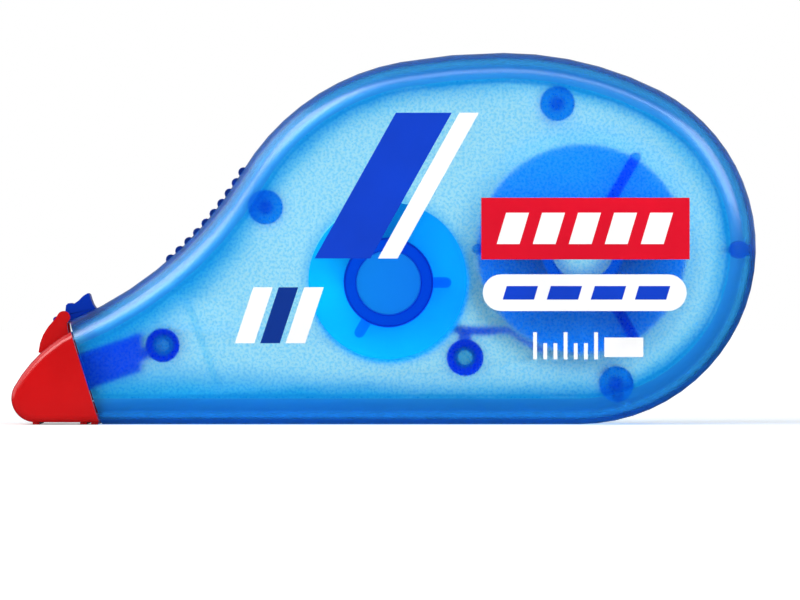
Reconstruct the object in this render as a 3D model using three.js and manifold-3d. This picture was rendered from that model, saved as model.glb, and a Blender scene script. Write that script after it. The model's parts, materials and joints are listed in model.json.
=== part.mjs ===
// Correction tape in a teardrop housing with a flip-up cap.
// Millimetres. +X runs from the nose to the tail, +Y from the front shell to the back shell, +Z up.
// Every wheel turns about an axis along Y, so a place is given as [x, z].

import * as THREE from "three";
import { mergeVertices } from "three/addons/utils/BufferGeometryUtils.js";
import Module from "manifold-3d";

const wasm = await Module();
wasm.setup();

// Housing outline: tangent arcs from the foot of the tail round to the mouth
const HOUSING_WIDTH = 15;
const HOUSING_WALL = 1.3;
const RIM_RADIUS = 3.3;
const TAIL_X = 23.12;
const TAIL_RADIUS = 20.9;
const TAIL_SWEEP = 153;
const CROWN_RADIUS = 40.7;
const BROW_RADIUS = 68.7;
const BROW_SWEEP = 10.2;
const SHOULDER_RADIUS = 27.5;
const SHOULDER_SWEEP = 49;
const GRIP_RADIUS = 42.9;
const GRIP_SWEEP = 36.4;

// Mouth: a slanted plane through the nose
const MOUTH_X = -33.35;
const MOUTH_LEAN = 17.4;

// Grip ridges on the concave arc
const RIDGE_COUNT = 10;
const RIDGE_PITCH = 1.49;
const RIDGE_RADIUS = 0.62;
const RIDGE_STAND = 0.45;

// Polished window over the take-up wheel
const WINDOW_RADIUS = 9.34;
const WINDOW_DEPTH = 0.2;
const WINDOW_OFFSET = [-0.12, 0.3];

// Clearances
const SEAT_GAP = 0.3;
const RUN_GAP = 0.1;
const PRESS_GAP = 0.1;

// Gears
const GEAR_MODULE = 0.5;
const DRIVE_TEETH = 59;
const TAKE_UP_TEETH = 34;
const PRESSURE_ANGLE = 20;
const BACKLASH = 0.1;
const GEAR_CENTRE_PLAY = 0.04;
const GEAR_THICKNESS = 1.4;

// Tape and reels
const TAPE_WIDTH = 4.2;
const TAPE_THICKNESS = 0.12;
const TAPE_ROLL_RADIUS = 12.3;
const LINER_ROLL_RADIUS = 7.15;
const REEL_WALL = 1.25;
const SPOOL_WALL = 1.5;
const HUB_WALL = 0.8;
const SPIGOT_WALL = 0.7;
const CLUTCH_SECTION = 0.4;
const CLUTCH_SEAT_DEPTH = 1.2;
const GEAR_HOLE_RADIUS = 1.9;
const GEAR_HOLE_CIRCLE = 10.6;
const FLANGE_THICKNESS = 0.9;
const FLANGE_OVER_TAPE = 0.4;
const SUPPLY_FLANGE_RADIUS = 12.45;
const TAKE_UP_FLANGE_RADIUS = 9.55;
const TAKE_UP_DISC_THICKNESS = 0.6;

// Axle tubes moulded in the front shell
const SUPPLY_TUBE_RADIUS = 5.03;
const SUPPLY_TUBE_BORE = 3.69;
const TAKE_UP_TUBE_RADIUS = 5.17;
const TAKE_UP_TUBE_BORE = 3.9;
const SUPPLY_OFFSET = [0.36, -0.17];
const REEL_LINE_ANGLE = 9.79;

// Rub ribs round the axle tubes
const RUB_RIB_WIDTH = 1.25;
const LAND_WIDTH = 1.2;
const SPIGOT_LENGTH = 2;
const PLUG_LENGTH = 5;
const SUPPLY_RIB_REACH = 13.1;
const TAKE_UP_RIB_REACH = 7.45;

// Bosses that join the shells
const BOSS_RADIUS = 2.06;
const BOSS_BORE = 1.1;
const BOSS_DEPTH = 3.6;
const JOIN_PIN_RADIUS = 0.8;
const SHOULDER_BOSS_INSET = 4.47;
const SHOULDER_BOSS_ANGLE = 154.7;
const CROWN_BOSS_INSET = 3.7;
const CROWN_BOSS_ANGLE = 98.8;
const FOOT_BOSS_INSET = 4.27;
const FOOT_BOSS_ANGLE = -75;
const TAIL_BOSS_INSET = 2.33;
const TAIL_BOSS_DROP = 0.26;
const TAIL_BOSS_RADIUS = 1.06;
const TAIL_BOSS_BORE = 0.65;
const TAIL_BOSS_DEPTH = 3;
const TAIL_PIN_RADIUS = 0.4;
const TAIL_RIB_WIDTH = 1.34;

// Posts for the guide roller and pawl, and for the applicator
const GUIDE_POST_OFFSET = [9.05, -8.87];
const GUIDE_BASE_RADIUS = 2.19;
const GUIDE_POST_BORE = 0.85;
const APPLICATOR_POST_OFFSET = [11.77, -3.29];
const APPLICATOR_BASE_RADIUS = 2.01;
const APPLICATOR_POST_BORE = 0.76;
const POST_RADIUS = 1.15;
const POST_PIN_RADIUS = 0.55;
const GUIDE_ROLLER_RADIUS = 1.7;

// Low ribs across the throat, one in each shell
const THROAT_RIB_TOP_OFFSET = [2.72, 5.62];
const THROAT_RIB_FOOT_OFFSET = [6.62, -5.04];
const THROAT_RIB_THICKNESS = 0.8;
const THROAT_GAP = 11;

// Applicator
const TIP_REACH = 7.55;
const TIP_HEIGHT = 2.6;
const TIP_THICKNESS = 0.4;
const TIP_TAPER = 6;
const ARM_THICKNESS = 1.5;
const CHEEK_THICKNESS = 0.6;
const CHEEK_CLEARANCE = 0.25;
const ARM_NECK = 2.9;
// Cheek corners, as lengths along the arm and across it
const CHEEK_OVER_ARM = [
  [1.69, 2.59],
  [9.19, 3.38],
];
const CHEEK_UNDER_ARM = [
  [9.04, 1.36],
  [3.7, 1.82],
];
const CHEEK_SHORT_OF_TIP = 1.4;
const CHEEK_NOSE_HEIGHT = 0.7;

// Stop pawl
const PAWL_THICKNESS = 0.75;
const PAWL_TAIL_THICKNESS = 0.5;
const PAWL_TAIL_FROM = 230;
const PAWL_TAIL_TO = 250;
const PAWL_NECK_WIDTH = 1.6;
const PAWL_BLADE_RISE = 2.55;
const PAWL_BLADE_HEIGHT = 1.1;
const PAWL_ELBOW_LEAD = 3;
const PAWL_ELBOW_THICKNESS = 0.95;
const PAWL_NOSE_FROM = 327.3;
const PAWL_NOSE_TO = 323.1;
const PAWL_NOSE_CHAMFER = 0.35;
const PAWL_TIP_GAP = 0.31;
const RATCHET_DEPTH = 0.6;

// Hinge bracket
const HINGE_OFFSET = [-0.726, 0.396];
const BARREL_RADIUS = 0.77;
const BARREL_WIDTH = 6.4;
const BRACKET_SEAT = 0.05;
const TONGUE_WIDTH = 4.4;
const TONGUE_BEHIND_HINGE = 1.31;
const TONGUE_THICKNESS = 1;
const TONGUE_DROP = 2.48;
const TONGUE_HOOK = 1.3;
const TONGUE_HOOK_HEIGHT = 0.75;
const TAB_OUTLINE = [
  [-0.1, -0.6],
  [1.6, -2.2],
  [4.6, -0.4],
  [4.08, 0.96],
  [3.66, 1.17],
  [3.41, 1.54],
  [3.17, 2.14],
  [2.99, 2.75],
  [2.81, 2.89],
  [2.27, 2.57],
  [1.67, 1.97],
  [1.12, 1.6],
  [0.82, 1.72],
  [0.45, 1.68],
  [0.21, 1.42],
  [0.15, 0.7],
];
const STOP_ANGLE = 195;
const STOP_DISTANCE = 1;
const STOP_RADIUS = 0.35;

// Cap
const CAP_GAP = 0.2;
const CAP_WALL = 1;
const CAP_EDGE_RADIUS = 0.9;
const CAP_FOOT_HEIGHT = 0.25;
const CAP_FOOT_WIDTH = 0.8;
const CAP_FEET_REACH = [7.75, 2.15, 0.85];
const CAP_NOSE_REACH = 7.83;
const CAP_NOSE_RADIUS = 2.85;
const CAP_BROW_SWEEP = 32.4;
const CAP_TOP_OFFSET = [0.8, -1.73];
const EAR_THICKNESS = 1.4;
const EAR_REAR = [
  [0.66, -2.6],
  [0.39, -0.67],
];
const EAR_FRONT = [
  [-1, -0.15],
  [-1.83, -1.11],
  [-2.44, -2.08],
  [-2.8, -3.05],
  [-2.98, -4.13],
  [-1.6, -4.6],
];
const EAR_STUB_RADIUS = 0.33;
const EAR_STUB_LENGTH = 0.9;
const EAR_SOCKET_RADIUS = EAR_STUB_RADIUS + RUN_GAP;

// Planes across the width, counted from the front
const FACE = HOUSING_WIDTH / 2;
const INNER_FACE = FACE - HOUSING_WALL;
const TAPE_EDGE = TAPE_WIDTH / 2;
const FLANGE_BACK = -(TAPE_EDGE + FLANGE_OVER_TAPE);
const FLANGE_FRONT = FLANGE_BACK - FLANGE_THICKNESS;
const PAWL_BACK = -(TAPE_EDGE + FLANGE_OVER_TAPE / 2);
const PAWL_FRONT = PAWL_BACK - PAWL_THICKNESS;
const DISC_BACK = PAWL_FRONT - SEAT_GAP;
const DISC_FRONT = DISC_BACK - TAKE_UP_DISC_THICKNESS;
const DISC_LIP = DISC_FRONT + TAKE_UP_DISC_THICKNESS / 2;
const RUB_FACE = DISC_FRONT - SEAT_GAP;
const GEAR_FRONT = TAPE_EDGE + FLANGE_OVER_TAPE + PRESS_GAP;
const GEAR_BACK = GEAR_FRONT + GEAR_THICKNESS;
const BACK_LAND = GEAR_BACK + SEAT_GAP;
const BOSS_END = GEAR_FRONT - FLANGE_OVER_TAPE;
const TUBE_END = INNER_FACE - SEAT_GAP;

// Sizes that follow from the driving ones
const DRIVE_PITCH_RADIUS = (GEAR_MODULE * DRIVE_TEETH) / 2;
const TAKE_UP_PITCH_RADIUS = (GEAR_MODULE * TAKE_UP_TEETH) / 2;
const GEAR_CENTRES = DRIVE_PITCH_RADIUS + TAKE_UP_PITCH_RADIUS + GEAR_CENTRE_PLAY;
const RATCHET_RADIUS = TAKE_UP_PITCH_RADIUS + GEAR_MODULE;
const HUB_BORE = SUPPLY_TUBE_RADIUS + RUN_GAP;
const HUB_RADIUS = HUB_BORE + HUB_WALL;
const SPOOL_BORE = HUB_RADIUS + RUN_GAP;
const SPOOL_RADIUS = SPOOL_BORE + SPOOL_WALL;
const TAKE_UP_BORE = TAKE_UP_TUBE_RADIUS + RUN_GAP;
const TAKE_UP_CORE_RADIUS = TAKE_UP_BORE + REEL_WALL;
const TAKE_UP_SPIGOT_RADIUS = TAKE_UP_BORE + SPIGOT_WALL;
const RING_BORE = POST_RADIUS + RUN_GAP;
const MOUTH_SLOPE = Math.tan(radians(MOUTH_LEAN));
const STEP_DEGREES = 6;
const ROUND_SIDES = 32;
const SMALL_SIDES = 20;
const FAR = 5 * TAIL_RADIUS;

// Places that follow from the outline
const OUTLINE_ARCS = [
  [TAIL_RADIUS, TAIL_SWEEP],
  [CROWN_RADIUS, 180 - TAIL_SWEEP],
  [BROW_RADIUS, BROW_SWEEP],
  [SHOULDER_RADIUS, SHOULDER_SWEEP],
  [GRIP_RADIUS, -GRIP_SWEEP],
];
const [TAIL_CENTRE, , , SHOULDER_CENTRE, GRIP_CENTRE] = tangentChain(
  [TAIL_X, 0],
  0,
  OUTLINE_ARCS,
  0,
).centres;
const SUPPLY = beside(TAIL_CENTRE, SUPPLY_OFFSET);
const TAKE_UP = shifted(SUPPLY, 180 + REEL_LINE_ANGLE, GEAR_CENTRES);
const WINDOW = beside(TAKE_UP, WINDOW_OFFSET);
const HINGE = beside(mouthTop(), HINGE_OFFSET);
const GUIDE_POST = beside(TAKE_UP, GUIDE_POST_OFFSET);
const APPLICATOR_POST = beside(HINGE, APPLICATOR_POST_OFFSET);
const TIP = [MOUTH_X - TIP_REACH, TIP_HEIGHT];
const THROAT_RIB_TOP = beside(APPLICATOR_POST, THROAT_RIB_TOP_OFFSET);
const THROAT_RIB_FOOT = beside(APPLICATOR_POST, THROAT_RIB_FOOT_OFFSET);
const BOSS_PLACES = [
  shifted(SHOULDER_CENTRE, SHOULDER_BOSS_ANGLE, SHOULDER_RADIUS - SHOULDER_BOSS_INSET),
  shifted(TAIL_CENTRE, CROWN_BOSS_ANGLE, TAIL_RADIUS - CROWN_BOSS_INSET),
  shifted(TAIL_CENTRE, FOOT_BOSS_ANGLE, TAIL_RADIUS - FOOT_BOSS_INSET),
];
const TAIL_BOSS = [TAIL_CENTRE[0] + TAIL_RADIUS - TAIL_BOSS_INSET, TAIL_CENTRE[1] - TAIL_BOSS_DROP];

function radians(degrees) {
  return (degrees * Math.PI) / 180;
}

// The place at a distance from another one, along a heading in degrees from +X towards +Z
function shifted(place, heading, distance) {
  const angle = radians(heading);
  return [place[0] + distance * Math.cos(angle), place[1] + distance * Math.sin(angle)];
}

// The place beside another one by an offset
function beside(place, [along, up]) {
  return [place[0] + along, place[1] + up];
}

// Points of an arc round a centre
function arcPoints(centre, radius, from, to, step = STEP_DEGREES) {
  const count = Math.max(1, Math.ceil(Math.abs(to - from) / step));
  return Array.from({ length: count + 1 }, (_, i) => {
    return shifted(centre, from + ((to - from) * i) / count, radius);
  });
}

// A chain of tangent arcs, each [radius, sweep], left turns positive. The inset moves it to the left.
function tangentChain(start, heading, arcs, inset) {
  const points = [shifted(start, heading + 90, inset)];
  const centres = [];
  let place = start;
  let course = heading;
  for (const [radius, sweep] of arcs) {
    const turn = Math.sign(sweep);
    const centre = shifted(place, course + 90 * turn, radius);
    const from = course - 90 * turn;
    const shown = arcPoints(centre, radius - turn * inset, from, from + sweep);
    points.push(...shown.slice(1));
    centres.push(centre);
    place = shifted(centre, from + sweep, radius);
    course += sweep;
  }
  return { points, centres, end: points.at(-1), course };
}

// Housing outline, carried level past the mouth, which is cut off later
function housingOutline(inset) {
  const chain = tangentChain([TAIL_X, 0], 0, OUTLINE_ARCS, inset);
  const lip = shifted(chain.end, chain.course, HOUSING_WALL);
  const past = [lip[0] - 2 * RIM_RADIUS, lip[1]];
  return [...chain.points, lip, past, [past[0], inset]];
}

// The X of the mouth plane at a height
function mouthX(z) {
  return MOUTH_X - z * MOUTH_SLOPE;
}

// Where the top of the outline meets the mouth plane
function mouthTop() {
  const points = housingOutline(0).slice(0, -1);
  const past = points.findIndex(([x, z]) => x < mouthX(z));
  const [from, to] = [points[past - 1], points[past]];
  const before = from[0] - mouthX(from[1]);
  const after = to[0] - mouthX(to[1]);
  const share = before / (before - after);
  return [from[0] + share * (to[0] - from[0]), from[1] + share * (to[1] - from[1])];
}

// A geometry as a closed solid, without the slivers that a pole leaves
function solid(geometry) {
  const bare = geometry.index ? geometry.toNonIndexed() : geometry.clone();
  bare.deleteAttribute("normal");
  bare.deleteAttribute("uv");
  const merged = mergeVertices(bare, 1e-4);
  const index = merged.index.array;
  const kept = [];
  for (let i = 0; i < index.length; i += 3) {
    const [a, b, c] = [index[i], index[i + 1], index[i + 2]];
    if (a !== b && b !== c && c !== a) {
      kept.push(a, b, c);
    }
  }
  return new wasm.Manifold(
    new wasm.Mesh({
      numProp: 3,
      vertProperties: new Float32Array(merged.attributes.position.array),
      triVerts: new Uint32Array(kept),
    }),
  );
}

// An outline in XZ made solid between two planes across the width, with rounded edges if asked
function slab(points, front, back, edge = 0, edgeSteps = 4) {
  const shape = new THREE.Shape(points.map(([x, z]) => new THREE.Vector2(x, z)));
  const geometry = new THREE.ExtrudeGeometry(shape, {
    depth: back - front - 2 * edge,
    bevelEnabled: edge > 0,
    bevelThickness: edge,
    bevelSize: edge,
    bevelOffset: -edge,
    bevelSegments: edgeSteps,
    curveSegments: 1,
  });
  geometry.translate(0, 0, edge - back);
  geometry.rotateX(Math.PI / 2);
  return solid(geometry);
}

// A rod along Y
function rod(place, radius, front, back, sides = SMALL_SIDES) {
  const geometry = new THREE.CylinderGeometry(radius, radius, back - front, sides);
  geometry.translate(place[0], (front + back) / 2, place[1]);
  return solid(geometry);
}

// A turned ring about an axis along Y, from a closed profile of [radius, y]
function turned(place, profile, sides = ROUND_SIDES) {
  const closed = [...profile, profile[0]].map(([r, y]) => new THREE.Vector2(r, y));
  const geometry = new THREE.LatheGeometry(closed, sides);
  geometry.translate(place[0], 0, place[1]);
  return solid(geometry);
}

// A tube along Y
function tube(place, bore, radius, front, back, sides = ROUND_SIDES) {
  const profile = [
    [bore, front],
    [radius, front],
    [radius, back],
    [bore, back],
  ];
  return turned(place, profile, sides);
}

// A straight bar in XZ between two places
function bar(from, to, thickness, front, back) {
  const heading = (Math.atan2(to[1] - from[1], to[0] - from[0]) * 180) / Math.PI;
  const half = thickness / 2;
  const points = [
    shifted(from, heading - 90, half),
    shifted(to, heading - 90, half),
    shifted(to, heading + 90, half),
    shifted(from, heading + 90, half),
  ];
  return slab(points, front, back);
}

function joined(solids) {
  return solids.reduce((sum, next) => sum.add(next));
}

// Everything on the nose side of the mouth plane, which may be moved towards the nose
function noseSide(offset) {
  const shift = offset / Math.cos(radians(MOUTH_LEAN));
  const points = [
    [mouthX(-FAR) - shift, -FAR],
    [mouthX(FAR) - shift, FAR],
    [-FAR, FAR],
    [-FAR, -FAR],
  ];
  return slab(points, -2 * FACE, 2 * FACE);
}

// Everything on the tail side of the mouth plane
function tailSide(offset) {
  const shift = offset / Math.cos(radians(MOUTH_LEAN));
  const points = [
    [mouthX(-FAR) - shift, -FAR],
    [FAR, -FAR],
    [FAR, FAR],
    [mouthX(FAR) - shift, FAR],
  ];
  return slab(points, -2 * FACE, 2 * FACE);
}

// The half of space in front of the parting plane, or behind it
function halfSpace(side) {
  const frame = [
    [-FAR, -FAR],
    [FAR, -FAR],
    [FAR, FAR],
    [-FAR, FAR],
  ];
  return side < 0 ? slab(frame, -2 * FACE, 0) : slab(frame, 0, 2 * FACE);
}

// Slot in the top of the mouth for the hinge bracket's tongue
function bracketSlot() {
  const half = TONGUE_WIDTH / 2 + SEAT_GAP;
  const rear = HINGE[0] + TONGUE_BEHIND_HINGE + TONGUE_THICKNESS + SEAT_GAP;
  const foot = HINGE[1] - TONGUE_DROP;
  const points = [
    [-FAR, foot],
    [rear, foot],
    [rear, FAR],
    [-FAR, FAR],
  ];
  return slab(points, -half, half);
}

// Ridges moulded across the grip
function gripRidges() {
  const from = 270 + BROW_SWEEP + SHOULDER_SWEEP;
  const pitch = (RIDGE_PITCH / GRIP_RADIUS) * (180 / Math.PI);
  const half = FACE - RIM_RADIUS + RIDGE_STAND / 2;
  return Array.from({ length: RIDGE_COUNT }, (_, i) => {
    const depth = GRIP_RADIUS - RIDGE_STAND + RIDGE_RADIUS;
    const place = shifted(GRIP_CENTRE, from - i * pitch, depth);
    return rod(place, RIDGE_RADIUS, -half, half, 12);
  });
}

// Both shells before they part: outer form less the hollow, cut at the mouth, with the ridges
function housingForm() {
  const outer = slab(housingOutline(0), -FACE, FACE, RIM_RADIUS, 5);
  const innerRim = RIM_RADIUS - HOUSING_WALL;
  const inner = slab(housingOutline(HOUSING_WALL), -INNER_FACE, INNER_FACE, innerRim, 3);
  return { outer, inner };
}

// Radial ribs that the wheels rub against
function rubRibs(place, reach, tubeRadius, angles, front, back) {
  return angles.flatMap((angle) => {
    const end = shifted(place, angle, reach - RUB_RIB_WIDTH / 2);
    const start = shifted(place, angle, tubeRadius - SEAT_GAP);
    return [
      bar(start, end, RUB_RIB_WIDTH, front, back),
      rod(end, RUB_RIB_WIDTH / 2, front, back, 12),
    ];
  });
}

// Place in the tail's wall that the small boss's rib runs to
function tailWall() {
  return [TAIL_CENTRE[0] + TAIL_RADIUS - HOUSING_WALL / 2, TAIL_BOSS[1]];
}

// Front shell: bosses, two hollow axle tubes, two posts, ribs and the window
function frontShell() {
  const { outer, inner } = housingForm();
  const root = -INNER_FACE - SEAT_GAP;
  const features = [
    tube(SUPPLY, SUPPLY_TUBE_BORE, SUPPLY_TUBE_RADIUS, root, TUBE_END),
    tube(TAKE_UP, TAKE_UP_TUBE_BORE, TAKE_UP_TUBE_RADIUS, root, TUBE_END),
    ...rubRibs(SUPPLY, SUPPLY_RIB_REACH, SUPPLY_TUBE_RADIUS, [60, 180, 300], root, RUB_FACE),
    ...rubRibs(TAKE_UP, TAKE_UP_RIB_REACH, TAKE_UP_TUBE_RADIUS, [0, 120, 240], root, RUB_FACE),
    ...BOSS_PLACES.map((place) => rod(place, BOSS_RADIUS, root, BOSS_END, 24)),
    rod(TAIL_BOSS, TAIL_BOSS_RADIUS, root, -SEAT_GAP / 2),
    bar(TAIL_BOSS, tailWall(), TAIL_RIB_WIDTH, root, -SEAT_GAP / 2),
    rod(GUIDE_POST, GUIDE_BASE_RADIUS, root, PAWL_FRONT - 2 * SEAT_GAP, 24),
    rod(GUIDE_POST, POST_RADIUS, root, TUBE_END),
    rod(APPLICATOR_POST, APPLICATOR_BASE_RADIUS, root, -armHalf() - SEAT_GAP, 24),
    rod(APPLICATOR_POST, POST_RADIUS, root, TUBE_END),
    bar(THROAT_RIB_TOP, THROAT_RIB_FOOT, THROAT_RIB_THICKNESS, root, -THROAT_GAP / 2),
  ];
  const bores = [
    ...BOSS_PLACES.map((place) => rod(place, BOSS_BORE, BOSS_END - BOSS_DEPTH, FACE)),
    rod(TAIL_BOSS, TAIL_BOSS_BORE, -TAIL_BOSS_DEPTH, FACE),
    rod(GUIDE_POST, GUIDE_POST_BORE, -INNER_FACE, FACE),
    rod(APPLICATOR_POST, APPLICATOR_POST_BORE, -INNER_FACE, FACE),
  ];
  const window = rod(WINDOW, WINDOW_RADIUS, -2 * FACE, WINDOW_DEPTH - FACE, 48);
  const moulded = joined(features).intersect(outer);
  const shell = outer.subtract(inner).intersect(halfSpace(-1));
  const ridges = joined(gripRidges()).subtract(inner).intersect(halfSpace(-1));
  return joined([shell, moulded, ridges])
    .subtract(joined(bores))
    .subtract(window)
    .subtract(bracketSlot())
    .intersect(tailSide(0));
}

// Half width of the applicator's arm and ring, between the cheeks
function armHalf() {
  return TAPE_EDGE + CHEEK_CLEARANCE;
}

// Back shell: pins for the bosses and posts, a spigot and a plug in the axle tubes, collars, lands
function backShell() {
  const { outer, inner } = housingForm();
  const root = INNER_FACE + SEAT_GAP;
  const socket = BOSS_END - BOSS_DEPTH + 2 * SEAT_GAP;
  const spigotEnd = INNER_FACE - SPIGOT_LENGTH;
  const supplySpigot = SUPPLY_TUBE_BORE - SEAT_GAP;
  const plugEnd = INNER_FACE - PLUG_LENGTH;
  const supplyLand = SUPPLY_TUBE_RADIUS + SEAT_GAP;
  const takeUpLand = TAKE_UP_TUBE_RADIUS + SEAT_GAP;
  const collar = POST_RADIUS + 2 * RUN_GAP;
  const features = [
    tube(SUPPLY, supplySpigot - HUB_WALL, supplySpigot, spigotEnd, root),
    rod(TAKE_UP, TAKE_UP_TUBE_BORE - RUN_GAP, plugEnd, root, ROUND_SIDES),
    tube(SUPPLY, supplyLand, supplyLand + LAND_WIDTH, BACK_LAND, root),
    tube(TAKE_UP, takeUpLand, takeUpLand + LAND_WIDTH, BACK_LAND, root),
    ...rubRibs(SUPPLY, SUPPLY_RIB_REACH, supplyLand + LAND_WIDTH, [60, 180, 300], BACK_LAND, root),
    ...rubRibs(TAKE_UP, TAKE_UP_RIB_REACH, takeUpLand + LAND_WIDTH, [0, 120, 240], BACK_LAND, root),
    ...BOSS_PLACES.map((place) => rod(place, JOIN_PIN_RADIUS, socket, root)),
    rod(TAIL_BOSS, TAIL_BOSS_RADIUS, SEAT_GAP / 2, root),
    bar(TAIL_BOSS, tailWall(), TAIL_RIB_WIDTH, SEAT_GAP / 2, root),
    rod(TAIL_BOSS, TAIL_PIN_RADIUS, 2 * SEAT_GAP - TAIL_BOSS_DEPTH, root, 12),
    rod(GUIDE_POST, POST_PIN_RADIUS, BACK_LAND, root, 12),
    rod(APPLICATOR_POST, POST_PIN_RADIUS, BACK_LAND, root, 12),
    tube(GUIDE_POST, collar, GUIDE_BASE_RADIUS, BOSS_END + SEAT_GAP, root, 24),
    tube(APPLICATOR_POST, collar, APPLICATOR_BASE_RADIUS, armHalf() + SEAT_GAP, root, 24),
    bar(THROAT_RIB_TOP, THROAT_RIB_FOOT, THROAT_RIB_THICKNESS, THROAT_GAP / 2, root),
  ];
  const moulded = joined(features).intersect(outer);
  const shell = outer.subtract(inner).intersect(halfSpace(1));
  const ridges = joined(gripRidges()).subtract(inner).intersect(halfSpace(1));
  return joined([shell, moulded, ridges]).subtract(bracketSlot()).intersect(tailSide(0));
}

// Angle of an involute tooth's flank from the tooth's middle, at a radius
function flankAngle(radius, pitchRadius) {
  const pressure = radians(PRESSURE_ANGLE);
  const base = pitchRadius * Math.cos(pressure);
  const here = Math.acos(Math.min(1, base / Math.max(radius, base)));
  const thickness = (Math.PI * GEAR_MODULE) / 2 - BACKLASH;
  const opening = Math.tan(pressure) - pressure - (Math.tan(here) - here);
  return ((thickness / (2 * pitchRadius) + opening) * 180) / Math.PI;
}

// Outline of a spur gear with one tooth pointing along the first angle
function gearOutline(place, teeth, first) {
  const pitchRadius = (GEAR_MODULE * teeth) / 2;
  const radii = [pitchRadius - 1.2 * GEAR_MODULE, pitchRadius, pitchRadius + GEAR_MODULE];
  const points = [];
  for (let i = 0; i < teeth; i += 1) {
    const middle = first + (360 * i) / teeth;
    const rising = radii.map((radius) => {
      return shifted(place, middle - flankAngle(radius, pitchRadius), radius);
    });
    const falling = radii.map((radius) => {
      return shifted(place, middle + flankAngle(radius, pitchRadius), radius);
    });
    points.push(...rising, ...falling.reverse());
  }
  return points;
}

// Circle for a hole or a rim
function circle(place, radius, sides = ROUND_SIDES) {
  return Array.from({ length: sides }, (_, i) => shifted(place, (360 * i) / sides, radius));
}

// Large gear, with the hub that the tape spool sits on
function driveGear() {
  const outline = gearOutline(SUPPLY, DRIVE_TEETH, 180 + REEL_LINE_ANGLE);
  const lighten = [0, 120, 240].map((angle) => {
    return rod(shifted(SUPPLY, angle + 30, GEAR_HOLE_CIRCLE), GEAR_HOLE_RADIUS, 0, FACE, 24);
  });
  const disc = slab(outline, GEAR_FRONT, GEAR_BACK).subtract(joined(lighten));
  const hub = rod(SUPPLY, HUB_RADIUS, FLANGE_BACK + SEAT_GAP, GEAR_BACK, ROUND_SIDES);
  return disc.add(hub).subtract(rod(SUPPLY, HUB_BORE, -FACE, FACE, ROUND_SIDES));
}

// Core and front flange of the tape roll. The flange closes over the hub with a raised rubbing rim,
// and the core has a seat at the back for the clutch ring.
function supplySpool() {
  const seat = SPOOL_RADIUS - SPOOL_WALL / 3;
  const seatFront = GEAR_FRONT - SEAT_GAP - CLUTCH_SEAT_DEPTH;
  const profile = [
    [HUB_BORE, RUB_FACE + SEAT_GAP],
    [HUB_RADIUS, RUB_FACE + SEAT_GAP],
    [HUB_RADIUS, FLANGE_FRONT],
    [SUPPLY_FLANGE_RADIUS, FLANGE_FRONT],
    [SUPPLY_FLANGE_RADIUS, FLANGE_BACK],
    [SPOOL_RADIUS, FLANGE_BACK],
    [SPOOL_RADIUS, GEAR_FRONT - SEAT_GAP],
    [seat, GEAR_FRONT - SEAT_GAP],
    [seat, seatFront],
    [SPOOL_BORE, seatFront],
    [SPOOL_BORE, FLANGE_BACK],
    [HUB_BORE, FLANGE_BACK],
  ];
  return turned(SUPPLY, profile, 48);
}

// Rubber ring squeezed between the gear and the spool
function clutchRing() {
  const middle = (HUB_RADIUS + SPOOL_RADIUS - SPOOL_WALL / 3) / 2;
  const plane = GEAR_FRONT - SEAT_GAP - CLUTCH_SEAT_DEPTH / 2;
  const profile = circle([middle, plane], CLUTCH_SECTION, 8);
  return turned(SUPPLY, profile, ROUND_SIDES);
}

function tapeRoll() {
  return tube(SUPPLY, SPOOL_RADIUS + PRESS_GAP, TAPE_ROLL_RADIUS, -TAPE_EDGE, TAPE_EDGE, 48);
}

// Small gear, the core for the used strip and the spigot for the ratchet flange
function takeUpSpool() {
  const gapTowardsDrive = REEL_LINE_ANGLE + 180 / TAKE_UP_TEETH;
  const disc = slab(gearOutline(TAKE_UP, TAKE_UP_TEETH, gapTowardsDrive), GEAR_FRONT, GEAR_BACK);
  const core = rod(TAKE_UP, TAKE_UP_CORE_RADIUS, FLANGE_BACK + PRESS_GAP, GEAR_BACK, ROUND_SIDES);
  const spigot = rod(TAKE_UP, TAKE_UP_SPIGOT_RADIUS, DISC_LIP + PRESS_GAP, 0, ROUND_SIDES);
  const bore = rod(TAKE_UP, TAKE_UP_BORE, -FACE, FACE, ROUND_SIDES);
  return joined([disc, core, spigot]).subtract(bore);
}

// Saw teeth that let the take-up turn one way only
function ratchetOutline() {
  const pitch = 360 / TAKE_UP_TEETH;
  return Array.from({ length: TAKE_UP_TEETH }, (_, i) => [
    shifted(TAKE_UP, i * pitch, RATCHET_RADIUS),
    shifted(TAKE_UP, (i + 0.93) * pitch, RATCHET_RADIUS - RATCHET_DEPTH),
  ]).flat();
}

// Front flange of the take-up, with the ratchet behind it and a lip over the spigot's end
function takeUpRatchet() {
  const wheel = slab(ratchetOutline(), DISC_BACK, FLANGE_BACK);
  const disc = rod(TAKE_UP, TAKE_UP_FLANGE_RADIUS, DISC_FRONT, DISC_BACK, 48);
  const seat = rod(TAKE_UP, TAKE_UP_SPIGOT_RADIUS + PRESS_GAP, DISC_LIP, FACE, ROUND_SIDES);
  const bore = rod(TAKE_UP, TAKE_UP_BORE, -FACE, FACE, ROUND_SIDES);
  return disc.add(wheel).subtract(seat).subtract(bore);
}

function linerRoll() {
  const bore = TAKE_UP_CORE_RADIUS + PRESS_GAP;
  return tube(TAKE_UP, bore, LINER_ROLL_RADIUS, -TAPE_EDGE, TAPE_EDGE, 48);
}

// Small roller that the tape passes under
function guideRoller() {
  return tube(GUIDE_POST, RING_BORE, GUIDE_ROLLER_RADIUS, -TAPE_EDGE, BOSS_END, SMALL_SIDES);
}

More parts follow.
